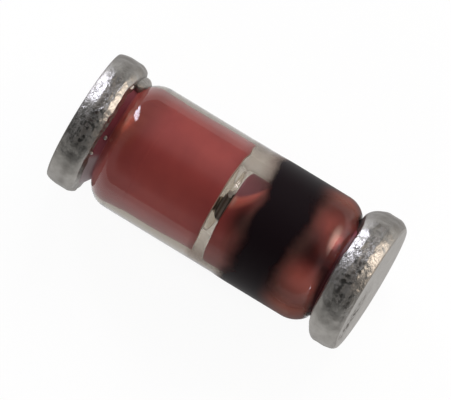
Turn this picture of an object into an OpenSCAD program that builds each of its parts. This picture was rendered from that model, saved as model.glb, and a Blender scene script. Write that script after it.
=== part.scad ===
// Glass-sealed zener diode in a leadless cylinder package, for soldering flat on a board.
// Two oxide-red studs are sealed into a glass sleeve and pinch a silicon die between them.
// Each stud ends in a flare that carries a tinned end cap, and a black ring marks the cathode.
// The axis lies along X with the cathode at +X. Z = 0 is the board that the caps lie on.

/* [Glass sleeve] */
// Outside diameter of the glass
glass_d = 1.40; // [1.3:0.01:1.45]
// Length of the glass, measured to where its rounded ends would close on the studs
glass_len = 2.72; // [2.4:0.02:3.0]
// Radius of the fire-rounded ends of the glass
glass_end_r = 0.29; // [0.15:0.01:0.3]

/* [Studs] */
// Diameter of the studs, which is also the bore of the glass sealed on to them
stud_d = 0.80; // [0.7:0.01:0.9]
// Edge radius of a stud's inner end
stud_edge_r = 0.03; // [0.01:0.005:0.05]
// Length of the flare by which a stud spreads out to its cap
flare_len = 0.21; // [0.12:0.01:0.26]
// Bare neck left between the rounded end of the glass and the cap
neck_len = 0.08; // [0.06:0.01:0.16]

/* [End caps] */
// Diameter of the caps, which stand proud of the glass
cap_d = 1.52; // [1.5:0.01:1.65]
// Thickness of a cap
cap_t = 0.30; // [0.24:0.01:0.5]
// Edge radius of a cap's outer face
cap_face_r = 0.07; // [0.03:0.01:0.1]
// Edge radius of a cap's inner face, where the flare of the stud begins
cap_back_r = 0.08; // [0.03:0.01:0.1]

/* [Die] */
// Side of the square silicon die
die_w = 0.30; // [0.2:0.01:0.4]
// Thickness of the die
die_t = 0.11; // [0.08:0.005:0.2]
// How far the die was set off the axis, towards -Y
die_shift = 0.07; // [0:0.01:0.08]
// Diameter of the silver bump on the anode side of the die
bump_d = 0.20; // [0.12:0.01:0.2]
// Height of the bump, which the anode stud presses on
bump_h = 0.045; // [0.04:0.005:0.08]
// Edge radius of the flattened bump
bump_edge_r = 0.018; // [0.005:0.001:0.019]

/* [Cathode band] */
// Width of the painted ring
band_w = 0.545; // [0.3:0.005:0.6]
// Distance from the cathode end of the glass to the ring
band_inset = 0.47; // [0.32:0.01:0.6]
// Thickness of the paint
band_t = 0.015; // [0.008:0.001:0.03]

/* [Hidden] */
$fn = 96;
// The studs stand this far apart, with the die and its bump held between them
stud_gap = die_t + bump_h;
// Distance from the middle of the part to the inner face of a cap
cap_back = glass_len / 2 + neck_len;
// The caps lie on the board, so the axis is half a cap above it
axis_z = cap_d / 2;
// The flare runs out to the flat of the cap's inner face
flare_r = cap_d / 2 - cap_back_r;

// Lays a shape that was turned round Z along the part's axis, with its +Z end towards +X
module along_axis() {
    translate([0, 0, axis_z]) rotate([0, 90, 0]) children();
}

// Puts a shape made for the cathode end at the anode end
module at_anode_end() {
    mirror([1, 0, 0]) children();
}

// Half section of a round bar from 0 to len, with its start and finish edges rounded
module bar_section(r, len, start_r, finish_r) {
    square([r - start_r, len / 2]);
    translate([0, len / 2]) square([r - finish_r, len / 2]);
    translate([0, start_r]) square([r, len - start_r - finish_r]);
    translate([r - start_r, start_r]) circle(start_r);
    if (finish_r > 0) translate([r - finish_r, len - finish_r]) circle(finish_r);
}

// Half section of the cone by which a stud spreads out to the inner face of its cap
module flare_section() {
    polygon([[0, cap_back - flare_len], [stud_d / 2, cap_back - flare_len],
             [flare_r, cap_back], [0, cap_back]]);
}

// A stud from its contact face in the middle of the part to the inner face of its cap
module stud() {
    along_axis() rotate_extrude() {
        translate([0, stud_gap / 2])
            bar_section(stud_d / 2, cap_back - stud_gap / 2, stud_edge_r, 0);
        flare_section();
    }
}

// A cap from the base of the stud's flare to the flat outer face that solder wets
module cap() {
    along_axis() rotate_extrude()
        translate([0, cap_back]) bar_section(cap_d / 2, cap_t, cap_back_r, cap_face_r);
}

module anode_cap() { color("#a3a19c") at_anode_end() cap(); }

module anode_stud() { color("#8a4542") at_anode_end() stud(); }

// The sleeve fits the studs all the way, and its bore is a sealed chamber round the die
module glass_sleeve() {
    color("#d9dcd6", 0.35) along_axis() rotate_extrude() difference() {
        translate([0, -glass_len / 2])
            bar_section(glass_d / 2, glass_len, glass_end_r, glass_end_r);
        square([stud_d, 2 * cap_back], center = true);
        flare_section();
        mirror([0, 1]) flare_section();
    }
}

// A flattened button of plated silver, between the anode stud and the die
module contact_bump() {
    color("#c9c7c1") translate([0, -die_shift, 0]) along_axis()
        translate([0, 0, -stud_gap / 2])
            rotate_extrude() bar_section(bump_d / 2, bump_h, bump_edge_r, bump_edge_r);
}

// The die lies with its back flat on the cathode stud
module zener_die() {
    color("#3b3836") translate([stud_gap / 2 - die_t, -die_shift - die_w / 2, axis_z - die_w / 2])
        cube([die_t, die_w, die_w]);
}

module cathode_stud() { color("#8a4542") stud(); }

module cathode_cap() { color("#a3a19c") cap(); }

// A ring of paint on the straight part of the glass, near its cathode end
module cathode_band() {
    color("#17120f") along_axis() rotate_extrude()
        translate([glass_d / 2, glass_len / 2 - band_inset - band_w]) square([band_t, band_w]);
}

anode_cap();
anode_stud();
glass_sleeve();
contact_bump();
zener_die();
cathode_stud();
cathode_cap();
cathode_band();
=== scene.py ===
# %% [markdown]
# # A glass-sealed zener diode, dressed for a close-up
#
# The part is a leadless diode a little over three millimetres long. Two red studs are sealed into a
# clear glass sleeve and hold a speck of silicon between them. Tinned caps close the ends, and a black
# ring marks the cathode. The solids fix every size and place. Here each piece gets a finer surface,
# worked out with numpy, and a material that starts from what the real thing is made of.

# %% Load the solids
import math

import bpy
import numpy as np
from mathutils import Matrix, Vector


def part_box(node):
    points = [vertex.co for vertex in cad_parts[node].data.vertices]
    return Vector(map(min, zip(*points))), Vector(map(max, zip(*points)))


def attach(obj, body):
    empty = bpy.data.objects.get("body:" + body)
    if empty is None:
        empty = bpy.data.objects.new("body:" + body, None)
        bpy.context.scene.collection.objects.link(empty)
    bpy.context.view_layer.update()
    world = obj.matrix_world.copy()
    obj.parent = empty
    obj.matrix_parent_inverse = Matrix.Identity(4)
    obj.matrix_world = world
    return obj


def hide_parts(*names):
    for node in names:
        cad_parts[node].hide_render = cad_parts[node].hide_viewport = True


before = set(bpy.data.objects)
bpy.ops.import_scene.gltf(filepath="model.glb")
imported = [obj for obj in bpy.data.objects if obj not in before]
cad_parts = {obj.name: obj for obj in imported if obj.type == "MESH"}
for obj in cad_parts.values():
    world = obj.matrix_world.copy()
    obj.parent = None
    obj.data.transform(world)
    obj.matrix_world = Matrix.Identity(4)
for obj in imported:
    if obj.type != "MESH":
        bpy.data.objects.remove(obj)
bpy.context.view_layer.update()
MM = 0.001
print("solids:", sorted(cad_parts))

# %% [markdown]
# ## Sizes
#
# Lengths are in millimetres until a mesh is laid, because that is how such a part is measured. The
# boxes of the solids give most of them. A box can't show a radius inside the part, so the stud and
# the rounding of the glass have their own values here, the same as the solids have. Only the flare is
# a little shorter than the solid's cone, because here the bend into it is rounded and starts earlier.

# %% Sizes read from the solids
def span(node, axis):
    """The lowest and highest coordinate of a solid along one axis (0, 1 or 2), in mm."""
    low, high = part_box(node)
    return low[axis] / MM, high[axis] / MM


AXIS_HEIGHT = sum(span("cathode_cap", 2)) / 2
CAP_RADIUS = span("cathode_cap", 1)[1]
CAP_BACK = span("cathode_cap", 0)[0]
FLARE_RADIUS = span("cathode_stud", 1)[1]
STUD_END = span("cathode_stud", 0)[0]
GLASS_RADIUS = span("glass_sleeve", 1)[1]
STUD_RADIUS = 0.40
FLARE_LENGTH = 0.18
GLASS_HALF = 1.36
GLASS_ROUND = 0.29
FLARE_START = CAP_BACK - FLARE_LENGTH
FLARE_SLOPE = (FLARE_RADIUS - STUD_RADIUS) / FLARE_LENGTH
print(f"cap radius {CAP_RADIUS:.3f}, glass radius {GLASS_RADIUS:.3f}, stud end {STUD_END:.4f} mm")

# %% [markdown]
# ## The camera
#
# The photograph looks as if it was taken through a long macro lens: nothing shrinks with distance. An
# orthographic camera would do that too, but a long focal length from far away is nearer to how it was
# taken. The diode lies with its axis falling to the right, and its banded end leans a few degrees
# towards the lens.

# %% Camera
IMAGE_WIDTH = 451
PIXELS_PER_MM = 97.3
AZIMUTH = math.radians(31.8)
ELEVATION = math.radians(78.6)
FOCAL_LENGTH = 1100.0
SENSOR_WIDTH = 36.0
CLIP_NEAR, CLIP_FAR = 1, 1000
OBJECT_RIGHT = 1.3 / PIXELS_PER_MM
OBJECT_DOWN = 2.2 / PIXELS_PER_MM

to_lens = np.array([math.sin(AZIMUTH) * math.cos(ELEVATION),
                    -math.cos(AZIMUTH) * math.cos(ELEVATION),
                    math.sin(ELEVATION)])
image_right = np.array([math.cos(AZIMUTH), math.sin(AZIMUTH), 0.0])
image_up = np.cross(to_lens, image_right)
lens_distance = FOCAL_LENGTH / SENSOR_WIDTH * IMAGE_WIDTH / PIXELS_PER_MM
middle = np.array([0.0, 0.0, AXIS_HEIGHT])
lens_place = middle + to_lens * lens_distance - image_right * OBJECT_RIGHT + image_up * OBJECT_DOWN

camera_data = bpy.data.cameras.new("lens")
camera_data.lens = FOCAL_LENGTH
camera_data.sensor_width = SENSOR_WIDTH
camera_data.clip_start = CLIP_NEAR * MM
camera_data.clip_end = CLIP_FAR * MM
camera = bpy.data.objects.new("lens", camera_data)
camera.location = lens_place * MM
camera.rotation_euler = (math.pi / 2 - ELEVATION, 0.0, AZIMUTH)
bpy.context.scene.collection.objects.link(camera)
bpy.context.scene.camera = camera
bpy.context.scene.view_settings.view_transform = "Standard"
# The angle round the diode's axis, from straight up towards +Y, at which the lens stands
LENS_ANGLE = math.atan2(to_lens[1], to_lens[2])
print(f"lens {lens_distance:.1f} mm away, at {math.degrees(LENS_ANGLE):.1f} degrees round the axis")

# %% [markdown]
# ## Tools for nodes and colours
#
# One function turns an sRGB hex colour into the linear values that a shader wants. Another adds a
# node with its settings and its links in one call, so that a material reads like a list.

# %% Colour and node helpers
def linear(hex_colour):
    """An sRGB hex colour as linear RGBA: each channel is raised from its display curve."""
    srgb = np.array([int(hex_colour[i:i + 2], 16) / 255 for i in (1, 3, 5)])
    rgb = np.where(srgb <= 0.04045, srgb / 12.92, ((srgb + 0.055) / 1.055) ** 2.4)
    return (*rgb.tolist(), 1.0)


def add_node(tree, kind, settings=None, inputs=None):
    """Adds a node. settings are its own properties, and inputs maps a socket to a value or a link."""
    made = tree.nodes.new(kind)
    for name, value in (settings or {}).items():
        setattr(made, name, value)
    for socket, value in (inputs or {}).items():
        if isinstance(value, bpy.types.NodeSocket):
            tree.links.new(value, made.inputs[socket])
        else:
            made.inputs[socket].default_value = value
    return made


def start_material(name):
    """An empty material with its output node and object coordinates: (material, tree, output, place)."""
    material = bpy.data.materials.new(name)
    material.use_nodes = True
    tree = material.node_tree
    tree.nodes.clear()
    output = add_node(tree, "ShaderNodeOutputMaterial")
    place = add_node(tree, "ShaderNodeTexCoord").outputs["Object"]
    return material, tree, output, place


def per_metre(size_mm):
    """The scale that gives a pattern one repeat in this many millimetres."""
    return 1 / (size_mm * MM)


print(f"#808080 is {linear('#808080')[0]:.3f} in linear light")

# %% [markdown]
# ## Floor and light
#
# Two soft boxes glow in the world, low on the left and on the right, both on the far side. The round
# ends of the glass and the edges of the caps catch them, and the straight glass between stays clear.
# Overhead it is dark, and polished tin shows that darkness as its black stripe. Three lamps, far, near
# and overhead, fill in the shade. They are kept out of reflections, as a photographer does with a
# polariser, because the glass would show each of them as a long white line.

# %% World
HORIZON_GLOW, TOP_GLOW = 0.22, 0.01
DARK_POLE = (0.0, -0.438, 0.899)
DARK_FROM, DARK_TO = math.cos(math.radians(46)), math.cos(math.radians(26))
# Dividing by this takes the part of a direction that points into a soft box out of the sum
FLATTENED = 1000.0

world = bpy.data.worlds.new("studio")
world.use_nodes = True
sky = world.node_tree
sky.nodes.clear()
direction = add_node(sky, "ShaderNodeTexCoord").outputs["Generated"]
near_pole = add_node(sky, "ShaderNodeVectorMath", {"operation": "DOT_PRODUCT"},
                     {0: direction, 1: DARK_POLE})
dim = add_node(sky, "ShaderNodeMapRange", {"interpolation_type": "SMOOTHSTEP"},
               {"Value": near_pole.outputs["Value"], "From Min": DARK_FROM, "From Max": DARK_TO,
                "To Min": HORIZON_GLOW, "To Max": TOP_GLOW})
room = add_node(sky, "ShaderNodeBackground", None,
                {"Color": linear("#ffffff"), "Strength": dim.outputs["Result"]})


def soft_box(towards, half_width, half_height, core, radiance, colour):
    """An oval glow in the world, full over its core and faded to nothing at its rim.

    Sizes are sines of the angle off its middle. Turning a direction into the box's own axes and dividing
    by those sizes gives a distance of 1 at the rim.
    """
    facing = Vector(towards).normalized().to_track_quat("Z", "Y").to_euler()
    own = add_node(sky, "ShaderNodeMapping", {"vector_type": "TEXTURE"},
                   {"Vector": direction, "Rotation": facing,
                    "Scale": (half_width, half_height, FLATTENED)})
    away = add_node(sky, "ShaderNodeVectorMath", {"operation": "LENGTH"}, {0: own.outputs[0]})
    glow = add_node(sky, "ShaderNodeMapRange", {"interpolation_type": "SMOOTHSTEP"},
                    {"Value": away.outputs["Value"], "From Min": 1.0, "From Max": core,
                     "To Max": radiance})
    return add_node(sky, "ShaderNodeBackground", None,
                    {"Color": linear(colour), "Strength": glow.outputs["Result"]})


left_box = soft_box((-0.80, 0.58, 0.33), half_width=0.13, half_height=0.42, core=0.6,
                    radiance=13.0, colour="#eceeff")
right_box = soft_box((0.75, 0.51, 0.42), half_width=0.50, half_height=0.50, core=0.15,
                     radiance=4.2, colour="#ffeedc")
boxes = add_node(sky, "ShaderNodeAddShader", None, {0: left_box.outputs[0], 1: right_box.outputs[0]})
whole = add_node(sky, "ShaderNodeAddShader", None, {0: room.outputs[0], 1: boxes.outputs[0]})
add_node(sky, "ShaderNodeOutputWorld", None, {"Surface": whole.outputs[0]})
bpy.context.scene.world = world
print(f"world: {HORIZON_GLOW} round the horizon, {TOP_GLOW} overhead, and two soft boxes")

# %% Lamps
LAMP_DISTANCE = 60.0
LAMP_SIDE = 44.0


def hang_lamp(name, towards, radiance):
    """A square lamp that faces the diode and shows in no reflection.

    Its power is radiance times pi times area.
    """
    lamp_data = bpy.data.lights.new(name, "AREA")
    lamp_data.shape = "RECTANGLE"
    lamp_data.size, lamp_data.size_y = LAMP_SIDE * MM, LAMP_SIDE * MM
    lamp_data.energy = radiance * math.pi * LAMP_SIDE * LAMP_SIDE * MM * MM
    lamp = bpy.data.objects.new(name, lamp_data)
    back = Vector(towards).normalized()
    lamp.location = Vector(middle * MM) + back * LAMP_DISTANCE * MM
    lamp.rotation_euler = back.to_track_quat("Z", "Y").to_euler()
    lamp.visible_glossy = False
    lamp.visible_transmission = False
    bpy.context.scene.collection.objects.link(lamp)
    print(f"{name}: {lamp_data.energy:.4f} W")


hang_lamp("far_fill", (0.0, 0.85, 0.53), 4.2)
hang_lamp("near_fill", (0.0, -0.95, 0.30), 3.0)
hang_lamp("top_fill", (0.10, -0.17, 0.98), 0.8)

# %% [markdown]
# ### The paper
#
# The diode lies on white paper. More light would make the paper white, but the diode too pale. So the
# rays that see the paper, straight on, in a reflection or through glass, find it lifted to white, and
# the light on the diode stays as it is. A little of the shadow is kept, so that the diode lies on it.

# %% Floor
FLOOR_HALF = 150.0
SHADOW_SHARE = 0.06
WHITE_TO, GREY_FROM = 3.1, 7.5
# The shade under the diode: an oval round its axis, moved a little towards -Y
SHADE_SHAPE = (0.45, 1.0, 0.0)
SHADE_SHIFT = -0.13
SHADE_INNER, SHADE_OUTER = 0.3, 0.95
SHADE_LIFT = 0.9

floor_mesh = bpy.data.meshes.new("floor")
corner = np.array([[-1, -1, 0], [1, -1, 0], [1, 1, 0], [-1, 1, 0]]) * FLOOR_HALF * MM
floor_mesh.from_pydata(corner.tolist(), [], [(0, 1, 2, 3)])
floor = bpy.data.objects.new("floor", floor_mesh)
bpy.context.scene.collection.objects.link(floor)


def matt_paper():
    """White paper in a pool of light, grey further off. It is lifted to white, less under the diode."""
    material, tree, output, place = start_material("matt_white_paper")
    away = add_node(tree, "ShaderNodeVectorMath", {"operation": "LENGTH"}, {0: place})
    far = add_node(tree, "ShaderNodeMapRange", {"interpolation_type": "SMOOTHSTEP"},
                   {"Value": away.outputs["Value"], "From Min": WHITE_TO * MM, "From Max": GREY_FROM * MM})
    tint = add_node(tree, "ShaderNodeMix", {"data_type": "RGBA"},
                    {"Factor": far.outputs["Result"], 6: linear("#ffffff"), 7: linear("#d8d8d6")})
    diffuse = add_node(tree, "ShaderNodeBsdfDiffuse", None, {"Color": tint.outputs[2]})
    lift = add_node(tree, "ShaderNodeEmission", None, {"Color": tint.outputs[2], "Strength": 1.0})
    pressed = add_node(tree, "ShaderNodeVectorMath", {"operation": "MULTIPLY_ADD"},
                       {0: place, 1: SHADE_SHAPE, 2: (0.0, SHADE_SHIFT * MM, 0.0)})
    aside = add_node(tree, "ShaderNodeVectorMath", {"operation": "LENGTH"}, {0: pressed.outputs[0]})
    amount = add_node(tree, "ShaderNodeMapRange", {"interpolation_type": "SMOOTHSTEP"},
                      {"Value": aside.outputs["Value"], "From Min": SHADE_INNER * MM,
                       "From Max": SHADE_OUTER * MM, "To Min": SHADE_LIFT * (1 - SHADOW_SHARE),
                       "To Max": 1 - SHADOW_SHARE})
    path = add_node(tree, "ShaderNodeLightPath")
    direct = add_node(tree, "ShaderNodeMath", {"operation": "MAXIMUM"},
                      {0: path.outputs["Is Camera Ray"], 1: path.outputs["Is Glossy Ray"]})
    seen = add_node(tree, "ShaderNodeMath", {"operation": "MAXIMUM"},
                    {0: direct.outputs[0], 1: path.outputs["Is Transmission Ray"]})
    lifted = add_node(tree, "ShaderNodeMath", {"operation": "MULTIPLY"},
                      {0: seen.outputs[0], 1: amount.outputs["Result"]})
    mixed = add_node(tree, "ShaderNodeMixShader", None,
                     {0: lifted.outputs[0], 1: diffuse.outputs[0], 2: lift.outputs[0]})
    tree.links.new(mixed.outputs[0], output.inputs["Surface"])
    return material


floor_mesh.materials.append(matt_paper())
print(f"floor: {2 * FLOOR_HALF:.0f} mm square")

# %% [markdown]
# ## Laying a surface
#
# Every piece here goes round one axis. Blender's Spin would turn a profile, but only with the same
# radius at every angle, and here wear and lumps change it. So one function lays a grid of points: one
# row per point of the profile, and one column per angle. A profile that starts and ends on the axis is
# closed by two fans. A ring's profile closes on itself.

# %% Grids of points
AROUND = 256
angle = np.linspace(0, 2 * np.pi, AROUND, endpoint=False)[None, :]
# Degrees round the axis from straight up towards +Y, from -180 to 180
degrees = (np.degrees(angle) + 180) % 360 - 180


def spread(values):
    """A column of values, repeated for every angle."""
    values = np.asarray(values, dtype=float)
    return np.broadcast_to(values, (values.shape[0], AROUND))


def turn(along, radius):
    """Points from cylinder coordinates: x is along, y and z are radius times sine and cosine."""
    return np.stack([spread(along), radius * np.sin(angle), AXIS_HEIGHT + radius * np.cos(angle)], axis=-1)


def straight(start, end, count):
    """Points of a straight stretch from start to end, without its last point."""
    return np.linspace(start, end, count, endpoint=False)


def arc(centre, radius, start, end, count):
    """Points of a round edge: the centre plus radius times the cosine and sine of start to end degrees."""
    sweep = np.radians(np.linspace(start, end, count))
    return np.array(centre) + radius * np.stack([np.cos(sweep), np.sin(sweep)], axis=1)


print(f"{AROUND} columns round the axis, {360 / AROUND:.2f} degrees each")

# %% Steps, bells and noise
def ramp(value, width):
    """A smooth step from 0 to 1, centred on 0 and as wide as given: three squares less two cubes."""
    share = np.clip(value / width + 0.5, 0, 1)
    return share * share * (3 - 2 * share)


def between(value, start, start_width, stop, stop_width):
    """1 between start and stop and 0 outside, as two smooth steps multiplied."""
    return ramp(value - start, start_width) * ramp(stop - value, stop_width)


def hump(value, centre, half_width):
    """A smooth bell: 1 at the centre, falling as a squared cosine to 0 at half_width to either side."""
    share = np.clip(np.abs(value - centre) / half_width, 0, 1)
    return np.cos(share * np.pi / 2) ** 2


def ripple(points, wavelength, seed, waves=14):
    """Smooth noise: the sum of sine waves of one wavelength that run in seeded random directions."""
    draw = np.random.default_rng(seed)
    heading = draw.normal(size=(waves, 3))
    heading /= np.linalg.norm(heading, axis=1, keepdims=True)
    phase = draw.uniform(0, 2 * np.pi, waves)
    turns = points @ heading.T * (2 * np.pi / wavelength) + phase
    return np.sin(turns).sum(axis=-1) / math.sqrt(waves / 2)


print("a step 1 wide, from -0.5 to 0.5:", np.round(ramp(np.linspace(-0.5, 0.5, 5), 1.0), 2).tolist())

# %% Meshes from grids
def lay(name, points, ring=False, smooth=True):
    """A mesh from a grid of points in mm. Neighbours make quads, and open ends are closed by fans."""
    rows, columns = points.shape[:2]
    number = np.arange(rows * columns).reshape(rows, columns)
    below, above = number[:-1], number[1:]
    if ring:
        below, above = number, np.roll(number, -1, axis=0)
    quads = np.stack([below, above, np.roll(above, -1, axis=1), np.roll(below, -1, axis=1)], axis=-1)
    faces = quads.reshape(-1, 4).tolist()
    vertices = points.reshape(-1, 3)
    if not ring:
        first, last = number[0], number[-1]
        hubs = np.stack([points[0].mean(axis=0), points[-1].mean(axis=0)])
        vertices = np.concatenate([vertices, hubs])
        hub = np.full(columns, rows * columns)
        faces += np.stack([hub, first, np.roll(first, -1)], axis=-1).tolist()
        faces += np.stack([hub + 1, np.roll(last, -1), last], axis=-1).tolist()
    mesh = bpy.data.meshes.new(name)
    mesh.from_pydata((vertices * MM).tolist(), [], faces)
    mesh.polygons.foreach_set("use_smooth", np.full(len(mesh.polygons), smooth))
    mesh.update()
    made = bpy.data.objects.new(name, mesh)
    bpy.context.scene.collection.objects.link(made)
    return made


def note(piece, name, values):
    """Stores one value per grid point on a mesh. The two hubs of a closed piece take their rows' means."""
    flat = np.concatenate([values.ravel(), [values[0].mean(), values[-1].mean()]])
    attribute = piece.data.attributes.new(name, "FLOAT", "POINT")
    attribute.data.foreach_set("value", flat[:len(piece.data.vertices)].astype(np.float32))


def dress(piece, material, node=None):
    """Gives a piece its material and slot, lets it ride, and hides the solid that it stands for, if any."""
    piece.data.materials.append(material)
    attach(piece, "root")
    if node:
        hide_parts(node)
    print(f"{piece.name}: {len(piece.data.polygons)} faces, {material.name}")

# %% [markdown]
# ## Where the seal lets go
#
# Where the glass wets a stud there is no gap, so the eye sees the stud enlarged to nearly the full
# width of the glass. Where it doesn't, there is gas between them, and the stud shows at its own size.
# One such pocket lies beside the cathode stud, and its edge runs aslant. The glass and the stud both
# need to know where that is, so it is one function for both.

# %% Gas between glass and stud
# Angles round the axis in degrees, and lengths along it in mm
POCKET_EDGE, POCKET_TURN, POCKET_FAR = 2.0, 28.0, 150.0
POCKET_START, POCKET_LENGTH = STUD_END + 0.016, 0.228
POCKET_POWER = 1.63
POCKET_MOUTH = 0.05
POCKET_STOP = POCKET_START + 1.3 * POCKET_LENGTH
RIDGE_STOP = POCKET_START + 1.1 * POCKET_LENGTH
RIDGE_ASIDE, RIDGE_HALF = 8.0, 13.0


def pocket_edge(along):
    """The angle in degrees at which the pocket begins. It turns away with the distance to a power."""
    distance = np.clip((along - POCKET_START) / POCKET_LENGTH, 0, None)
    return POCKET_EDGE + POCKET_TURN * distance ** POCKET_POWER


def pocket(along):
    """How far each point lies in the pocket, from 0 to 1: smooth steps at its four sides, multiplied."""
    across = between(degrees, pocket_edge(along), 6.0, POCKET_FAR, 12.0)
    return across * between(along, POCKET_MOUTH, 0.07, POCKET_STOP, 0.06)


def seal_edge(along):
    """A narrow bell along the pocket's edge, on the side where the glass still holds the stud."""
    inside = between(along, STUD_END, 0.03, RIDGE_STOP, 0.08)
    return hump(degrees, pocket_edge(along) - RIDGE_ASIDE, RIDGE_HALF) * inside


print(f"pocket from {POCKET_MOUTH} to {POCKET_STOP:.3f} mm, its edge from {POCKET_EDGE:.0f} "
      f"to {pocket_edge(POCKET_STOP):.0f} degrees")

# %% [markdown]
# ## The studs
#
# A stud is a wire of nickel iron in a copper skin. Heat turns the copper red with oxide, and that
# oxide is what the glass bonds to. Under the glass it looks matt and brick red. A drawn picture of the
# skin could be wrapped round the stud, but it would stretch over the flare. So the nodes mix the kinds
# of skin, and values that are stored on the mesh say where each one lies: glazed on the bend, a dark
# layer that is partly painted shade, bare where the seal lets go, a bright layer of painted highlight
# and painted light, tinned, and the pale core on the cut end, with a painted glint of it.

# %% Oxidised copper
NECK_FROM, NECK_TO = 1.24, 1.32
# Kinds of skin by the name of their value on the mesh. Each one lies over those before it.
# The dark one is partly painted shade, and the bright one is painted highlight and painted light.
SKINS = {"dark_and_painted_shade": "#381d22", "bare": "#9b5763", "bright": "#ff8d83", "tinned": "#857679", "core": "#ebe4d8"}


def oxidised_copper():
    """Red oxide on copper: matt and mottled, or glazed smooth with drawing lines, and dark in places.

    The mottle is 0.35 mm wide. The drawing lines are 0.06 mm apart, much coarser than real ones, so that
    they show. The dark layer is partly painted shade, and the bright layer is painted highlight and light.
    """
    material, tree, output, place = start_material("oxidised_copper")
    mottle = add_node(tree, "ShaderNodeTexNoise", None,
                      {"Vector": place, "Scale": per_metre(0.35), "Detail": 4.0, "Roughness": 0.55})
    matt = add_node(tree, "ShaderNodeMix", {"data_type": "RGBA"},
                    {"Factor": mottle.outputs["Fac"], 6: linear("#a1444a"), 7: linear("#c95e5d")})
    stretched = add_node(tree, "ShaderNodeVectorMath", {"operation": "MULTIPLY"},
                         {0: place, 1: (0.12, 1.0, 1.0)})
    lines = add_node(tree, "ShaderNodeTexNoise", None,
                     {"Vector": stretched.outputs[0], "Scale": per_metre(0.06), "Detail": 3.0})
    glossy = add_node(tree, "ShaderNodeMix", {"data_type": "RGBA"},
                      {"Factor": lines.outputs["Fac"], 6: linear("#b7524e"), 7: linear("#f88b78")})
    glazed = add_node(tree, "ShaderNodeAttribute", {"attribute_name": "glazed"})
    reds = add_node(tree, "ShaderNodeMix", {"data_type": "RGBA"},
                    {"Factor": glazed.outputs["Fac"], 6: matt.outputs[2], 7: glossy.outputs[2]})
    split = add_node(tree, "ShaderNodeSeparateXYZ", None, {0: place})
    off_middle = add_node(tree, "ShaderNodeMath", {"operation": "ABSOLUTE"}, {0: split.outputs["X"]})
    neck = add_node(tree, "ShaderNodeMapRange", {"interpolation_type": "SMOOTHSTEP"},
                    {"Value": off_middle.outputs[0], "From Min": NECK_FROM * MM, "From Max": NECK_TO * MM})
    colour = add_node(tree, "ShaderNodeMix", {"data_type": "RGBA"},
                      {"Factor": neck.outputs["Result"], 6: reds.outputs[2], 7: linear("#974c59")})
    for kind, shade in SKINS.items():
        amount = add_node(tree, "ShaderNodeAttribute", {"attribute_name": kind})
        colour = add_node(tree, "ShaderNodeMix", {"data_type": "RGBA"},
                          {"Factor": amount.outputs["Fac"], 6: colour.outputs[2], 7: linear(shade)})
    # The core is the last of them, and the cut face is polished metal
    core = amount
    sheen = add_node(tree, "ShaderNodeMapRange", None,
                     {"Value": glazed.outputs["Fac"], "To Min": 0.1, "To Max": 0.9})
    cut = add_node(tree, "ShaderNodeMapRange", None,
                   {"Value": core.outputs["Fac"], "From Min": 0.9, "From Max": 1.0})
    metal = add_node(tree, "ShaderNodeMath", {"operation": "MAXIMUM"},
                     {0: sheen.outputs["Result"], 1: cut.outputs["Result"]})
    satin = add_node(tree, "ShaderNodeMapRange", None,
                     {"Value": glazed.outputs["Fac"], "To Min": 0.5, "To Max": 0.34})
    drawn = add_node(tree, "ShaderNodeBump", None,
                     {"Height": lines.outputs["Fac"], "Strength": glazed.outputs["Fac"],
                      "Distance": 0.002 * MM})
    rough = add_node(tree, "ShaderNodeMapRange", None,
                     {"Value": core.outputs["Fac"], "To Min": satin.outputs["Result"], "To Max": 0.12})
    shader = add_node(tree, "ShaderNodeBsdfPrincipled", None,
                      {"Base Color": colour.outputs[2], "Metallic": metal.outputs[0],
                       "Roughness": rough.outputs["Result"], "Normal": drawn.outputs["Normal"]})
    tree.links.new(shader.outputs[0], output.inputs["Surface"])
    return material


copper = oxidised_copper()
print(f"{copper.name}: {len(copper.node_tree.nodes)} nodes")

# %% Shape of a stud
STUD_EDGE = 0.03
STUD_ROOT = CAP_BACK + 0.03
FLARE_BLEND = 0.06
# Rows follow the flare from the first of these, and lie closer together from the second
FLARE_ROWS, CLOSE_ROWS = 0.9, 1.0
# Radius of the smallest ring, which a fan closes
HUB = 0.01
RAGGED, RAGGED_LENGTH = 0.006, 0.3
UNEVEN = 0.0012


def stud_radius(along):
    """The stud's radius: level, then the flare's slope. A hyperbola rounds the bend between the two."""
    past = np.abs(along) - FLARE_START
    rise = (past + np.hypot(past, FLARE_BLEND)) / 2
    return np.minimum(FLARE_RADIUS, STUD_RADIUS + FLARE_SLOPE * rise)


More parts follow.
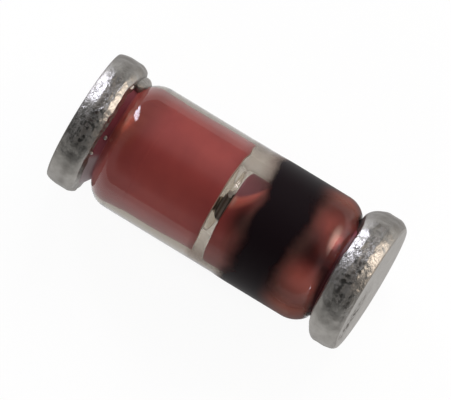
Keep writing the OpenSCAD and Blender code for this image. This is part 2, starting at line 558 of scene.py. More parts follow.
def stud_surface(seed, worn, skin):
    """A stud for the +X end, as along, radius and core: cut face, edge, shank, flare and a root in the cap.

    Each item of worn moves the edge of the cut end along the axis by a distance in mm, as a bell about
    an angle with a half width in degrees. That fades over the face as a power of the radius, and along
    the shank as a square. The core shows on the cut face, inside a copper skin of the given thickness.
    """
    profile = np.concatenate([
        straight((STUD_END, HUB), (STUD_END, STUD_RADIUS - STUD_EDGE), 16),
        arc((STUD_END + STUD_EDGE, STUD_RADIUS - STUD_EDGE), STUD_EDGE, 180, 90, 8),
        straight((STUD_END + STUD_EDGE, STUD_RADIUS), (CLOSE_ROWS, STUD_RADIUS), 80)[1:],
        straight((CLOSE_ROWS, STUD_RADIUS), (STUD_ROOT, STUD_RADIUS), 50),
        straight((STUD_ROOT, FLARE_RADIUS), (STUD_ROOT, HUB), 6),
    ])
    on_flare = (profile[:, :1] > FLARE_ROWS) & (profile[:, 1:] == STUD_RADIUS)
    along = spread(profile[:, :1])
    radius = np.where(on_flare, stud_radius(along), profile[:, 1:])
    round_points = turn(along, radius)
    near_end = np.clip(1 - (along - STUD_END) / RAGGED_LENGTH, 0, 1) ** 2
    near_end = near_end * np.clip(radius / STUD_RADIUS, 0, 1) ** 6
    shift = RAGGED * ripple(round_points, 0.4, seed)
    for distance, about, half_width in worn:
        shift = shift + distance * hump(degrees, about, half_width)
    uneven = UNEVEN * ripple(round_points, 0.6, seed + 1)
    uneven = uneven * ramp(FLARE_START - along, 0.2) * (radius > 0.3)
    core = np.where(along <= STUD_END, 1.0, 0.75 * (along <= STUD_END + 0.02))
    core = core * ramp(STUD_RADIUS - skin - radius, 0.02)
    return along + shift * near_end, radius + uneven, core


print(f"flare from radius {stud_radius(FLARE_START):.3f} to {stud_radius(CAP_BACK):.3f} mm")

# %% [markdown]
# ### Marks on the studs
#
# Each mark is a step or a bell in millimetres along the axis, times one in degrees round it, with its
# strength in front. On the cathode stud a dark streak runs along the top from under the paint, and
# painted shade darkens it by the cap. Painted light brightens its sides past the paint. A low ridge of
# copper follows the pocket's edge, and its bright colour is a painted highlight. A painted glint of the
# pale core sits where the seal starts. The anode stud is darker towards its cap, with painted shade on
# the near side of its neck. It lies a little off the axis, and the cutter left a burr round its end.

# %% Cathode stud
CATHODE_WEAR = [(0.05, 75, 50)]
CATHODE_SKIN = 0.035
SEAL_RIDGE = 0.007
SHANK_FROM = 0.38

along, radius, core = stud_surface(11, CATHODE_WEAR, CATHODE_SKIN)
ridge = seal_edge(along)
radius = radius + SEAL_RIDGE * ridge * ramp(radius - SHANK_FROM, 0.02)
cathode_stud = lay("cathode_stud_oxidised", turn(along, radius))

# A painted glint: a patch of the pale core's colour where the seal starts
painted_glint = 0.4 * hump(along, 0.1, 0.05) * hump(degrees, -4, 12)
on_bend = between(along, 1.08, 0.12, 1.27, 0.04) * hump(degrees, 22, 45)
shiny = np.maximum(0.1 + 0.9 * on_bend, 0.45 * ridge)
# A dark streak along the top, a little towards the near side, from under the paint to the bend
past_ring = ramp(along - 0.6, 0.3)
dark_streak = hump(degrees, -20 + 14 * past_ring, 38 + 6 * past_ring)
dark_streak = 0.93 * dark_streak * ramp(along - 0.175, 0.24) * (1 - on_bend)
# Painted shade by the cap: a dark spot on the far side, and the near side below it
shade_spot = hump(along, 1.22, 0.10) * hump(degrees, 48, 20)
below = 0.97 * ramp(along - 1.15, 0.08) * between(degrees, -120, 40, -8, 24)
# Painted light: the stud's sides past the paint are brightened
painted_light = 0.45 * hump(degrees, 48, 36) + 0.85 * hump(degrees, -54, 42)
painted_light = painted_light * between(along, 0.85, 0.2, 1.2, 0.1)
note(cathode_stud, "core", np.maximum(core, painted_glint))
note(cathode_stud, "glazed", (1 - core) * (1 - pocket(along)) * shiny)
note(cathode_stud, "dark_and_painted_shade", np.maximum(dark_streak, np.maximum(shade_spot, below)))
note(cathode_stud, "tinned", 0.75 * ramp(along - 1.30, 0.03) * hump(degrees, 22, 24))
note(cathode_stud, "bare", pocket(along))
# The bright layer: a painted highlight along the seal's ridge, and the painted light on the sides
note(cathode_stud, "bright", np.maximum(ridge, painted_light))
dress(cathode_stud, copper, "cathode_stud")

# %% Anode stud
# The first item is so wide that the whole edge stands out towards the die, as a burr
ANODE_WEAR = [(-0.056, 0, 1000), (-0.022, 70, 20), (-0.01, -80, 24)]
ANODE_SKIN = 0.0
ANODE_OFF_AXIS = 0.018
OFF_AXIS_FROM, OFF_AXIS_OVER = -1.3, 1.2


def off_axis(points):
    """The same points, moved towards +Y at the anode end: not at all by the cap, and most at the cut end."""
    inwards = np.clip((points[..., :1] - OFF_AXIS_FROM) / OFF_AXIS_OVER, 0, 1)
    aside = ANODE_OFF_AXIS * inwards * ramp(-points[..., :1], 0.2)
    return points + aside * (0.0, 1.0, 0.0)


def mirrored(*grids):
    """The same grids for the -X end: rows run the other way, and the first grid, along, changes sign."""
    flipped = [grid[::-1] for grid in grids]
    return -flipped[0], *flipped[1:]


along, radius, core = mirrored(*stud_surface(23, ANODE_WEAR, ANODE_SKIN))
anode_stud = lay("anode_stud_oxidised", off_axis(turn(along, radius)))
# Darker towards the cap end, most on the far side. Below is painted shade on the near side of the neck.
darkened = (0.2 + 0.16 * hump(degrees, 36, 46)) * ramp(-0.98 - along, 0.3)
below = 0.6 * ramp(-1.19 - along, 0.06) * between(degrees, -150, 40, 0, 24)
note(anode_stud, "core", core)
note(anode_stud, "glazed", 0.8 * ramp(-1.12 - along, 0.16) * hump(degrees, 8, 50))
note(anode_stud, "dark_and_painted_shade", np.maximum(darkened, below))
note(anode_stud, "tinned", ramp(-1.33 - along, 0.04) * between(degrees, -130, 30, -42, 10))
dress(anode_stud, copper, "anode_stud")

# %% [markdown]
# ## The glass sleeve
#
# The sleeve was a piece of soft lead tube, sealed on to the studs in a furnace. The heat drew its ends
# round and left them leaning a little. It is one closed skin: out along the outer wall, and back along
# the bore. Where the glass wets a stud, the bore runs just inside the stud's metal, so that a ray goes
# from glass to stud with no air between. A tinted surface would colour thin and thick glass alike, so
# the glass takes up light on the way through, and the long paths near its outline turn smoky.

# %% Lead glass
def clear_glass():
    """Soft lead glass, fire polished: a high index, faint waves 0.7 mm wide and a smoky grey in its depth.

    Lamps and diffuse light pass straight in, so the studs are lit as they would be without the glass.
    """
    material, tree, output, place = start_material("fire_polished_lead_glass")
    waves = add_node(tree, "ShaderNodeTexNoise", None,
                     {"Vector": place, "Scale": per_metre(0.7), "Detail": 0.0})
    swell = add_node(tree, "ShaderNodeBump", None,
                     {"Height": waves.outputs["Fac"], "Strength": 0.3, "Distance": 0.002 * MM})
    shader = add_node(tree, "ShaderNodeBsdfPrincipled", None,
                      {"Base Color": linear("#ffffff"), "Roughness": 0.0, "IOR": 1.58,
                       "Transmission Weight": 1.0, "Normal": swell.outputs["Normal"]})
    path = add_node(tree, "ShaderNodeLightPath")
    passes = add_node(tree, "ShaderNodeMath", {"operation": "MAXIMUM"},
                      {0: path.outputs["Is Shadow Ray"], 1: path.outputs["Is Diffuse Ray"]})
    open_way = add_node(tree, "ShaderNodeBsdfTransparent")
    mixed = add_node(tree, "ShaderNodeMixShader", None,
                     {0: passes.outputs[0], 1: shader.outputs[0], 2: open_way.outputs[0]})
    tree.links.new(mixed.outputs[0], output.inputs["Surface"])
    smoke = add_node(tree, "ShaderNodeVolumeAbsorption", None,
                     {"Color": linear("#b8ab96"), "Density": 2.1 / MM})
    tree.links.new(smoke.outputs[0], output.inputs["Volume"])
    return material


glass = clear_glass()
print(f"{glass.name}: {len(glass.node_tree.nodes)} nodes")

# %% Shape of the sleeve
WETTED_DEPTH = 0.008
CLEARANCE = 0.004
GLASS_TIP = 1.342
END_SKEW = 0.02
LEAN_FROM, LEAN_OVER = 0.9, 0.4


def leant(along):
    """Distances along the glass, moved by the sine of the angle in proportion to what is past LEAN_FROM."""
    past = np.clip(np.abs(along) - LEAN_FROM, 0, None)
    return along - END_SKEW * np.sin(angle) * past / LEAN_OVER


def glass_surface():
    """A ring profile: the outer wall with its round ends, then the bore.

    The bore's radius is the stud's, or the flare's past the shank, less the wetted depth, or plus the
    clearance in the pocket. Its rows lie closest round the die and the pocket. The ends lean a little,
    by the sine of the angle.
    """
    shoulder = GLASS_HALF - GLASS_ROUND
    tip = math.degrees(math.asin((GLASS_TIP - shoulder) / GLASS_ROUND))
    outer = np.concatenate([
        arc((-shoulder, GLASS_RADIUS - GLASS_ROUND), GLASS_ROUND, 90 + tip, 90, 28),
        straight((-shoulder, GLASS_RADIUS), (shoulder, GLASS_RADIUS), 50)[1:],
        arc((shoulder, GLASS_RADIUS - GLASS_ROUND), GLASS_ROUND, 90, 90 - tip, 28),
    ])
    bore_line = np.concatenate([
        straight(GLASS_TIP, 1.0, 24), straight(1.0, 0.45, 8), straight(0.45, -0.10, 110),
        straight(-0.10, -1.0, 12), np.linspace(-1.0, -GLASS_TIP, 24)])[:, None]
    wetted = stud_radius(bore_line) - WETTED_DEPTH
    bore = wetted + (WETTED_DEPTH + CLEARANCE) * pocket(bore_line)
    wall = turn(leant(outer[:, :1]), spread(outer[:, 1:]))
    return np.concatenate([wall, off_axis(turn(bore_line, bore))])


sleeve = lay("glass_sleeve_clear", glass_surface(), ring=True)
dress(sleeve, glass, "glass_sleeve")

# %% [markdown]
# ## The die and its bump
#
# The working part is a chip of silicon, sawn square, with metal on its back. It lies on the cathode
# stud in a collar of silver, and a drop of silver paste was baked on beside it. A silver bump stands on
# its anode side, and the anode stud presses on that. All of them could be cubes and spheres, but at
# this size soft corners and a sunken drop are what the eye sees. So a block is a superellipse carried
# along a profile, and a drop is a lumpy ellipsoid.

# %% Silicon and silver
METAL_FROM, METAL_TO = 0.050, 0.056


def sawn_silicon():
    """Dark grey silicon, sawn: saw marks across its edge, and bright silver on its back.

    A wave repeats every 0.314 of its scale, so 0.16 mm gives marks 0.05 mm apart, coarse enough to show.
    """
    material, tree, output, place = start_material("sawn_silicon")
    stripes = add_node(tree, "ShaderNodeTexWave", {"bands_direction": "X"},
                       {"Vector": place, "Scale": per_metre(0.16), "Distortion": 1.5, "Detail": 2.0})
    greys = add_node(tree, "ShaderNodeMix", {"data_type": "RGBA"},
                     {"Factor": stripes.outputs["Fac"], 6: linear("#7c7270"), 7: linear("#b4afae")})
    split = add_node(tree, "ShaderNodeSeparateXYZ", None, {0: place})
    backed = add_node(tree, "ShaderNodeMapRange", None,
                      {"Value": split.outputs["X"], "From Min": METAL_FROM * MM, "From Max": METAL_TO * MM})
    colour = add_node(tree, "ShaderNodeMix", {"data_type": "RGBA"},
                      {"Factor": backed.outputs["Result"], 6: greys.outputs[2], 7: linear("#e4e0dc")})
    shader = add_node(tree, "ShaderNodeBsdfPrincipled", None,
                      {"Base Color": colour.outputs[2], "Metallic": 0.5, "Roughness": 0.35})
    tree.links.new(shader.outputs[0], output.inputs["Surface"])
    return material


def plated_silver():
    """Soft bright silver, grown by plating: a fine skin, grained 0.03 mm, that scatters its shine."""
    material, tree, output, place = start_material("plated_silver")
    grain = add_node(tree, "ShaderNodeTexNoise", None,
                     {"Vector": place, "Scale": per_metre(0.03), "Detail": 3.0})
    bumps = add_node(tree, "ShaderNodeBump", None,
                     {"Height": grain.outputs["Fac"], "Strength": 0.5, "Distance": 0.004 * MM})
    shader = add_node(tree, "ShaderNodeBsdfPrincipled", None,
                      {"Base Color": linear("#cfc6bc"), "Metallic": 0.85, "Roughness": 0.28,
                       "Normal": bumps.outputs["Normal"]})
    tree.links.new(shader.outputs[0], output.inputs["Surface"])
    return material


def sintered_silver():
    """Silver paste, baked: powder grained 0.02 mm that is matt and nearly white, with a little shine."""
    material, tree, output, place = start_material("sintered_silver")
    grain = add_node(tree, "ShaderNodeTexNoise", None,
                     {"Vector": place, "Scale": per_metre(0.02), "Detail": 3.0})
    whites = add_node(tree, "ShaderNodeMix", {"data_type": "RGBA"},
                      {"Factor": grain.outputs["Fac"], 6: linear("#efe4e4"), 7: linear("#ffffff")})
    shader = add_node(tree, "ShaderNodeBsdfPrincipled", None,
                      {"Base Color": whites.outputs[2], "Metallic": 0.05, "Roughness": 0.35})
    tree.links.new(shader.outputs[0], output.inputs["Surface"])
    return material


silicon = sawn_silicon()
silver = plated_silver()
paste = sintered_silver()
print("made:", [made.name for made in (silicon, silver, paste)])

# %% Blocks and drops
def block_surface(node, exponent, profile):
    """A block with round corners: a superellipse section whose size follows a profile along the axis.

    Profile rows are (share of the length, share of the width). The section's radius at an angle is the
    half width over the root of the summed powers of the sine and cosine.
    """
    (x0, x1), (y0, y1), (z0, z1) = (span(node, axis) for axis in range(3))
    share = np.array(profile)
    power = np.abs(np.sin(angle)) ** exponent + np.abs(np.cos(angle)) ** exponent
    reach = (y1 - y0) / 2 * share[:, 1:] / power ** (1 / exponent)
    return np.stack([spread(x0 + (x1 - x0) * share[:, :1]), (y0 + y1) / 2 + reach * np.sin(angle),
                     (z0 + z1) / 2 + reach * np.cos(angle)], axis=-1)


def bead_surface(along, about, height, half, seed):
    """A drop at a distance along, at an angle in degrees and at a height from the axis: a lumpy ellipsoid.

    half gives its half sizes along the axis, round it and out from it. Smooth noise swells them.
    """
    sweep = np.linspace(0.05, np.pi - 0.05, 22)[:, None]
    unit = np.stack(np.broadcast_arrays(
        np.cos(sweep), np.sin(sweep) * np.sin(angle), np.sin(sweep) * np.cos(angle)), axis=-1)
    swell = 1 + 0.06 * ripple(unit, 1.8, seed)
    out_along = along - half[0] * swell * np.cos(sweep)
    aside = half[1] * swell * np.sin(sweep) * np.sin(angle)
    outwards = height + half[2] * swell * np.sin(sweep) * np.cos(angle)
    sine, cosine = math.sin(math.radians(about)), math.cos(math.radians(about))
    return np.stack([out_along, outwards * sine + aside * cosine,
                     AXIS_HEIGHT + outwards * cosine - aside * sine], axis=-1)

# %% Die, collar, drop and bump
SQUARE, ROUNDED, ROUND = 9, 2.4, 2
COLLAR_FROM = 0.55
DROP = (0.025, 20, 0.2, (0.034, 0.052, 0.042), 9)

die_profile = [(0, 0.02), (0, 0.80), (0.06, 0.84), (0.10, 0.84), (0.14, 0.92), (0.55, 1.0), (0.74, 1.0),
               (0.76, 0.92), (0.98, 0.98), (1.0, 0.96), (1.0, 0.02)]
die = lay("zener_die_silicon", block_surface("zener_die", SQUARE, die_profile), smooth=False)
dress(die, silicon, "zener_die")

# The collar widens towards the stud as a power of the distance
collar_share = np.linspace(0, 1, 14)
collar_profile = np.stack([COLLAR_FROM + (1 - COLLAR_FROM) * collar_share,
                           0.9 + 0.6 * collar_share ** 2.2], axis=1)
collar_profile = np.concatenate([[(COLLAR_FROM, 0.02)], collar_profile, [(1.0, 0.02)]])
collar = lay("die_collar_silver", block_surface("zener_die", ROUNDED, collar_profile))
dress(collar, silver)
drop = lay("die_drop_silver", bead_surface(*DROP))
dress(drop, paste)

# The bump was pressed flat, so its width is the sine of a half turn to a small power
half_turn = np.linspace(0, np.pi, 17)
bump_profile = np.stack([(1 - np.cos(half_turn)) / 2, 0.02 + 0.98 * np.sin(half_turn) ** 0.4], axis=1)
bump = lay("contact_bump_silver", block_surface("contact_bump", ROUND, bump_profile))
dress(bump, silver, "contact_bump")

# %% [markdown]
# ## The caps
#
# The caps are steel discs, dipped in molten tin. The tin froze in lumps and left the edges uneven. At
# the banded end it ran down over the flare all round, and at the plain end only on one side. A bevel
# on a plain disc would be too even. So the chamfers change with the angle, and the lumps are real
# geometry, because they break up the outline. The finer grain is bump.

# %% Dipped tin
def dipped_tin():
    """Tin that froze on steel: a grey metal with dull patches, brown specks and crinkles where it ran.

    The patches are 0.10 mm wide, the specks 0.05 mm and the crinkles 0.08 mm, shorter along the axis.
    Dense specks and duller tin also stand for painted dark reflection on the crest and along a streak.
    """
    material, tree, output, place = start_material("hot_dipped_tin")
    patches = add_node(tree, "ShaderNodeTexNoise", None,
                       {"Vector": place, "Scale": per_metre(0.10), "Detail": 5.0, "Roughness": 0.65})
    dull = add_node(tree, "ShaderNodeMix", {"data_type": "RGBA"},
                    {"Factor": patches.outputs["Fac"], 6: linear("#67625e"), 7: linear("#94918c")})
    fresh = add_node(tree, "ShaderNodeMix", {"data_type": "RGBA"},
                     {"Factor": patches.outputs["Fac"], 6: linear("#a8a49f"), 7: linear("#ebe8e3")})
    clean = add_node(tree, "ShaderNodeAttribute", {"attribute_name": "clean"})
    colour = add_node(tree, "ShaderNodeMix", {"data_type": "RGBA"},
                      {"Factor": clean.outputs["Fac"], 6: dull.outputs[2], 7: fresh.outputs[2]})
    stain_and_painted_dark = add_node(tree, "ShaderNodeAttribute", {"attribute_name": "stain_and_painted_dark"})
    specks = add_node(tree, "ShaderNodeTexNoise", None,
                      {"Vector": place, "Scale": per_metre(0.05), "Detail": 2.0})
    dots = add_node(tree, "ShaderNodeMapRange", None,
                    {"Value": specks.outputs["Fac"], "From Min": 0.44, "From Max": 0.56})
    speckled = add_node(tree, "ShaderNodeMath", {"operation": "MULTIPLY"},
                        {0: dots.outputs["Result"], 1: stain_and_painted_dark.outputs["Fac"]})
    speck_darkened = add_node(tree, "ShaderNodeMix", {"data_type": "RGBA"},
                       {"Factor": speckled.outputs[0], 6: colour.outputs[2], 7: linear("#28211e")})
    metal = add_node(tree, "ShaderNodeMapRange", None,
                     {"Value": speckled.outputs[0], "To Min": 1.0, "To Max": 0.2})
    crinkle = add_node(tree, "ShaderNodeAttribute", {"attribute_name": "crinkle"})
    satin = add_node(tree, "ShaderNodeMapRange", None,
                     {"Value": crinkle.outputs["Fac"], "To Min": 0.48, "To Max": 0.28})
    rough = add_node(tree, "ShaderNodeMapRange", None,
                     {"Value": speckled.outputs[0], "To Min": satin.outputs["Result"], "To Max": 0.85})
    depth = add_node(tree, "ShaderNodeMapRange", None,
                     {"Value": crinkle.outputs["Fac"], "To Min": 0.3, "To Max": 1.0})
    pressed = add_node(tree, "ShaderNodeVectorMath", {"operation": "MULTIPLY"},
                       {0: place, 1: (1.6, 1.0, 1.0)})
    grain = add_node(tree, "ShaderNodeTexNoise", None,
                     {"Vector": pressed.outputs[0], "Scale": per_metre(0.08), "Detail": 4.0,
                      "Roughness": 0.57})
    bumps = add_node(tree, "ShaderNodeBump", None,
                     {"Height": grain.outputs["Fac"], "Strength": depth.outputs["Result"],
                      "Distance": 0.022 * MM})
    shader = add_node(tree, "ShaderNodeBsdfPrincipled", None,
                      {"Base Color": speck_darkened.outputs[2], "Metallic": metal.outputs["Result"],
                       "Roughness": rough.outputs["Result"], "Normal": bumps.outputs["Normal"]})
    tree.links.new(shader.outputs[0], output.inputs["Surface"])
    return material


tin = dipped_tin()
print(f"{tin.name}: {len(tin.node_tree.nodes)} nodes")

# %% Shape of a cap
HIDDEN_START = CAP_BACK + 0.02
TIN_SINK = 0.03
LUMP_HEIGHT, LUMP_WIDTH = 0.003, 0.45
GRAIN_HEIGHT, GRAIN_WIDTH = 0.002, 0.16


def cap_surface(seed, crest, reach, fall, face, edge_long, edge_deep):
    """A cap for the +X end, as along and radius, from its hidden middle to the middle of its outer face.

    From its crest the rim falls inwards as a blunt chamfer, reach long and fall deep at each angle, to a
    wall of tin that stands on the flare. The outer edge is a blunt chamfer too, edge_long by edge_deep. A
    blunt chamfer is a quarter ellipse whose sine and cosine are raised to a power, flatter on top. Smooth
    noise then moves the skin along its own normal.
    """
    quarter = np.radians(np.linspace(0, 90, 24))[:, None]
    power = 1.35 + 0.4 * hump(degrees, 8, 60)
    sine = np.sin(quarter) ** power
    cosine = np.clip(np.cos(quarter), 0, 1) ** power
    inner_along = crest - reach * cosine
    inner_radius = CAP_RADIUS - fall * (1 - sine)
    top_along, top_radius = inner_along[:1], inner_radius[:1]
    foot_along = top_along - TIN_SINK
    foot_radius = stud_radius(foot_along) - TIN_SINK
    down = np.linspace(1, 0, 10)[:-1, None]
    wall_along = top_along + (foot_along - top_along) * down
    wall_radius = top_radius + (foot_radius - top_radius) * down
    share = np.linspace(0.02, 0.97, 6)[:, None]
    hidden_along = HIDDEN_START + (foot_along + 0.01 - HIDDEN_START) * share
    hidden_radius = foot_radius * share
    outer_along = face - edge_long * (1 - sine)
    outer_radius = CAP_RADIUS - edge_deep * (1 - cosine)
    rim = np.linspace(0, 1, 14)[1:-1, None]
    inwards = np.linspace(1, 0, 26)[1:, None]
    along = np.concatenate([spread(part) for part in (
        hidden_along, wall_along, inner_along, crest + (face - edge_long - crest) * rim,
        outer_along, 0 * inwards + face)])
    radius = np.concatenate([spread(part) for part in (
        hidden_radius, wall_radius, inner_radius, 0 * rim + CAP_RADIUS,
        outer_radius, HUB + (CAP_RADIUS - edge_deep - HUB) * inwards)])
    step_along, step_radius = np.gradient(along, axis=0), np.gradient(radius, axis=0)
    length = np.hypot(step_along, step_radius)
    points = turn(along, radius)
    lumps = LUMP_HEIGHT * ripple(points, LUMP_WIDTH, seed)
    lumps = lumps + GRAIN_HEIGHT * ripple(points, GRAIN_WIDTH, seed + 1)
    lumps = lumps * ramp(face - 0.03 - along, 0.06)
    return along - lumps * step_radius / length, radius + lumps * step_along / length

# %% [markdown]
# ### Marks on the caps
#
# The tin is clean and crinkled along the top, where it ran, and dull at the sides. Brown flux stains
# lie on the rims and in a streak along each cap, and there the tin is also made darker and duller as
# painted dark reflection. The marks could be painted on an unwrapped map, but values on the mesh's
# points need no unwrapping. Each mark is a step or a bell along the axis times one round it, and the
# smudge on the cathode's face is an oval.

# %% Cathode cap
CATHODE_FACE, ANODE_FACE = 1.738, 1.733
CATHODE_ASIDE, ANODE_ASIDE = 0.015, 0.008
# Just inside the face: stains end at the first of these, and the face's own finish begins at the second
SIDE_END, FACE_START = 1.715, 1.725
crinkled = hump(degrees, 3, 58) ** 0.6 + hump(degrees, 178, 70)
cleaned = np.minimum(1, crinkled + 0.4 * hump(degrees, -66, 40))
# Painted dark reflection: along this stripe the tin is made duller, and flux specks gather in it
outside_painted_dark = 1 - 0.6 * hump(degrees, -18, 34)
flux_and_painted_dark = hump(degrees, -14, 34)

run = hump(degrees, 80, 55)
under = hump(degrees, 175, 110) + hump(degrees, -185, 110)
along, radius = cap_surface(
    5, crest=1.50, reach=0.115 + 0.09 * run,
    fall=0.057 + 0.09 * run + 0.05 * hump(degrees, -100, 60), face=CATHODE_FACE,
    edge_long=0.115 - 0.075 * under, edge_deep=0.062 + 0.012 * np.sin(angle) - 0.036 * under)
cathode_cap = lay("cathode_cap_tinned", turn(along, radius) + (0.0, CATHODE_ASIDE, 0.0))
lensward = radius * np.cos(angle - LENS_ANGLE)
aside = radius * np.sin(angle - LENS_ANGLE)
smudge = hump(lensward, 0.15, 0.3) * hump(aside, -0.36, 0.48) * ramp(along - SIDE_END, 0.02)
# Painted dark reflection on the crest, with flux specks on it
rim_stain_and_painted_dark = 0.8 * hump(along, 1.575, 0.055) * hump(degrees, 15, 55)
note(cathode_cap, "stain_and_painted_dark", smudge + rim_stain_and_painted_dark + 0.45 * flux_and_painted_dark * (along < SIDE_END))
note(cathode_cap, "crinkle", crinkled * ramp(FACE_START - along, 0.03))
note(cathode_cap, "clean", np.where(along > FACE_START, 0.28, cleaned * outside_painted_dark))
dress(cathode_cap, tin, "cathode_cap")

# %% Anode cap
ANODE_SIDE_END, ANODE_FACE_START = -1.71, -1.72
lump = hump(degrees, 70, 44)
along, radius = mirrored(*cap_surface(
    8, crest=1.48, reach=0.065 + 0.03 * lump, fall=0.04 + 0.03 * lump, face=ANODE_FACE,
    edge_long=0.13, edge_deep=0.035 + 0.03 * hump(degrees, 16, 70)))
anode_cap = lay("anode_cap_tinned", turn(along, radius) + (0.0, ANODE_ASIDE, 0.0))
# Painted dark reflection on the rim's crest: darker specks, and duller tin
on_rim = hump(along, -1.55, 0.07)
off_face = ramp(along - ANODE_FACE_START, 0.03)
rim_stain_and_painted_dark = 0.75 * hump(degrees, 8, 46) * on_rim
note(anode_cap, "stain_and_painted_dark", rim_stain_and_painted_dark + 0.5 * flux_and_painted_dark * (along > ANODE_SIDE_END))
note(anode_cap, "crinkle", crinkled * off_face)
note(anode_cap, "clean", cleaned * off_face * (1 - 0.6 * on_rim) * outside_painted_dark)
dress(anode_cap, tin, "anode_cap")

# %% [markdown]
# ### Beads of tin
#
# Some tin ran off the anode's cap and froze on the neck: one long run, and three beads. They could be
# part of the cap's surface, but they hang over, and a grid of radii can't. So each is a drop by itself.

# %% Beads on the neck
# Distance along in mm, angle in degrees, height from the axis, half sizes in mm and a seed, and then how
# clean and how stained the bead is
BEADS = {"run": ((-1.37, 70, 0.585, (0.10, 0.27, 0.085), 3), 0.3, 0.25),
         "large": ((-1.358, -18, 0.565, (0.026, 0.024, 0.024), 4), 1.0, 0.0),
         "small": ((-1.392, -36, 0.655, (0.018, 0.016, 0.018), 6), 1.0, 0.0),
         "fleck": ((-1.415, 39, 0.662, (0.03, 0.045, 0.022), 7), 1.0, 0.0)}
for size, (shape, clean, stain_and_painted_dark) in BEADS.items():
    points = bead_surface(*shape)
    bead = lay(f"neck_bead_{size}", points)
    note(bead, "clean", np.full(points.shape[:2], clean))
    note(bead, "stain_and_painted_dark", np.full(points.shape[:2], stain_and_painted_dark))
    dress(bead, tin)

# %% [markdown]
# ## The cathode band
#
# The ring was rolled on as black enamel and fired. It is dense in the middle, sits a little askew and
# thins out at both edges, into a long brown haze on the cap's side. A ring with hard edges would look
# like tape. So the paint is one thin skin that follows the glass right over its shoulder, and how dense
# it is there is stored on the mesh. The brown haze lets most of the lamps' light through to the stud.

# %% Fired enamel
HAZE_LETS_THROUGH = 0.85


def fired_enamel():
    """Black enamel on glass: dense, with a dull shine, thinned to a brown haze where the coat runs out.

    The coat is cloudy, in clouds 0.14 mm wide.
    """
    material, tree, output, place = start_material("fired_black_enamel")
    coat = add_node(tree, "ShaderNodeAttribute", {"attribute_name": "coat"})
    cloud = add_node(tree, "ShaderNodeTexNoise", None,
                     {"Vector": place, "Scale": per_metre(0.14), "Detail": 4.0})
    uneven = add_node(tree, "ShaderNodeMath", {"operation": "MULTIPLY_ADD"},
                      {0: cloud.outputs["Fac"], 1: 0.5, 2: 0.85})
    cover = add_node(tree, "ShaderNodeMath", {"operation": "MULTIPLY", "use_clamp": True},
                     {0: coat.outputs["Fac"], 1: uneven.outputs[0]})
    dense = add_node(tree, "ShaderNodeMapRange", {"interpolation_type": "SMOOTHSTEP"},
                     {"Value": cover.outputs[0], "From Min": 0.2, "From Max": 1.0})
    colour = add_node(tree, "ShaderNodeMix", {"data_type": "RGBA"},
                      {"Factor": dense.outputs["Result"], 6: linear("#573d37"), 7: linear("#120b0e")})
    rust = add_node(tree, "ShaderNodeAttribute", {"attribute_name": "rust"})
    hazed = add_node(tree, "ShaderNodeMix", {"data_type": "RGBA"},
                     {"Factor": rust.outputs["Fac"], 6: colour.outputs[2], 7: linear("#7e463a")})
    path = add_node(tree, "ShaderNodeLightPath")
    passing = add_node(tree, "ShaderNodeMath", {"operation": "MULTIPLY"},
                       {0: path.outputs["Is Shadow Ray"], 1: rust.outputs["Fac"]})
    stopped = add_node(tree, "ShaderNodeMath", {"operation": "MULTIPLY_ADD"},
                       {0: passing.outputs[0], 1: -HAZE_LETS_THROUGH, 2: 1.0})
    solid = add_node(tree, "ShaderNodeMath", {"operation": "MULTIPLY"},
                     {0: cover.outputs[0], 1: stopped.outputs[0]})
    shader = add_node(tree, "ShaderNodeBsdfPrincipled", None,
                      {"Base Color": hazed.outputs[2], "Roughness": 0.5, "Specular IOR Level": 0.08,
                       "Alpha": solid.outputs[0]})
    tree.links.new(shader.outputs[0], output.inputs["Surface"])
    return material


enamel = fired_enamel()
print(f"{enamel.name}: {len(enamel.node_tree.nodes)} nodes")

# %% Where the paint lies
BAND_ASKEW = 0.03
FADE_MIDDLE, FADE_CAP = 0.19, 0.36
CAP_HAZE, CAP_HAZE_STOP = 0.85, 1.29
band_start, band_stop = span("cathode_band", 0)


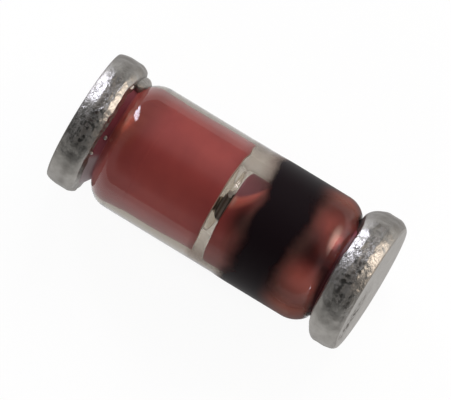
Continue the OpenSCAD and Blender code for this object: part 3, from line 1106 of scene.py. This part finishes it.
def paint_coat(along):
    """How dense the paint is, and how much of it is brown haze, both from 0 to 1.

    The ring is a smooth step at either edge, and both edges lean by a cosine and waver by sines. The haze
    towards the cap is thicker at the two sides, and brown except at the outline, where its darker colour
    is painted shade. Towards the middle it is a film on the near side, and a thin one over the gap.
    """
    lean = BAND_ASKEW * (np.cos(angle - LENS_ANGLE) - 0.5) + 0.012 * np.sin(5 * angle + 0.8)
    lean = lean + 0.008 * np.sin(11 * angle)
    near, far = hump(degrees, -48, 45), hump(degrees, 55, 55)
    from_start = along - band_start - lean + 0.04 * far
    from_stop = band_stop + 0.04 + lean - along
    ring = ramp(from_start - 0.05 * near, FADE_MIDDLE + 0.18 * near)
    ring = ring * ramp(from_stop - 0.04 * near, FADE_CAP)
    sides = np.minimum(1, 2 * hump(degrees, 90, 62) + 2 * hump(degrees, -106, 70))
    cap_haze = CAP_HAZE * sides * ramp(CAP_HAZE_STOP - along, 0.06) * ramp(from_start - 0.2, 0.1)
    near_haze = 0.37 * near * ramp(from_start + 0.10, 0.18)
    film = 0.14 + 0.26 * ramp(along - 0.19, 0.12)
    gap_haze = (film * far + 0.3 * hump(degrees, -68, 32)) * ramp(along + 0.06, 0.10)
    middle_haze = np.maximum(near_haze, gap_haze) * ramp(0.2 - from_start, 0.1)
    coat = ring + (1 - ring) * np.maximum(cap_haze, middle_haze)
    # Painted shade: near the outline the haze takes the darker enamel colour instead of brown
    outline = hump(degrees, 88, 55) + hump(degrees, -108, 55)
    rust = (1 - 0.75 * outline) * (1 - ring) * cap_haze / np.maximum(coat, 0.001)
    return coat, rust


print(f"ring from {band_start:.3f} to {band_stop:.3f} mm")

# %% The skin of paint
BAND_SINK = 0.004
BAND_THICK = 0.006
HAZE_START, HAZE_STOP = -0.12, 1.31
BAND_ROWS = 110


def glass_radius(along):
    """The outer radius of the glass: constant, then a quarter circle past the shoulder."""
    past = np.clip(np.abs(along) - (GLASS_HALF - GLASS_ROUND), 0, GLASS_ROUND)
    return GLASS_RADIUS - GLASS_ROUND + np.sqrt(GLASS_ROUND ** 2 - past ** 2)


def band_surface():
    """A ring of paint, as along, radius, coat and rust: out along its top, and back just inside the glass.

    The top lies on the glass, thicker where the coat is dense, and leans with the glass.
    """
    across = np.linspace(HAZE_START, HAZE_STOP, BAND_ROWS)
    across = np.concatenate([across, across[::-1]])[:, None]
    on_top = (np.arange(2 * BAND_ROWS) < BAND_ROWS)[:, None]
    coat, rust = paint_coat(across)
    thickness = (BAND_SINK + BAND_THICK * (0.4 + 0.6 * coat)) * on_top
    return leant(across), glass_radius(across) - BAND_SINK + thickness, coat * on_top, rust


along, radius, coat, rust = band_surface()
band = lay("cathode_band_enamel", turn(along, radius), ring=True)
note(band, "coat", coat)
note(band, "rust", rust)
dress(band, enamel, "cathode_band")
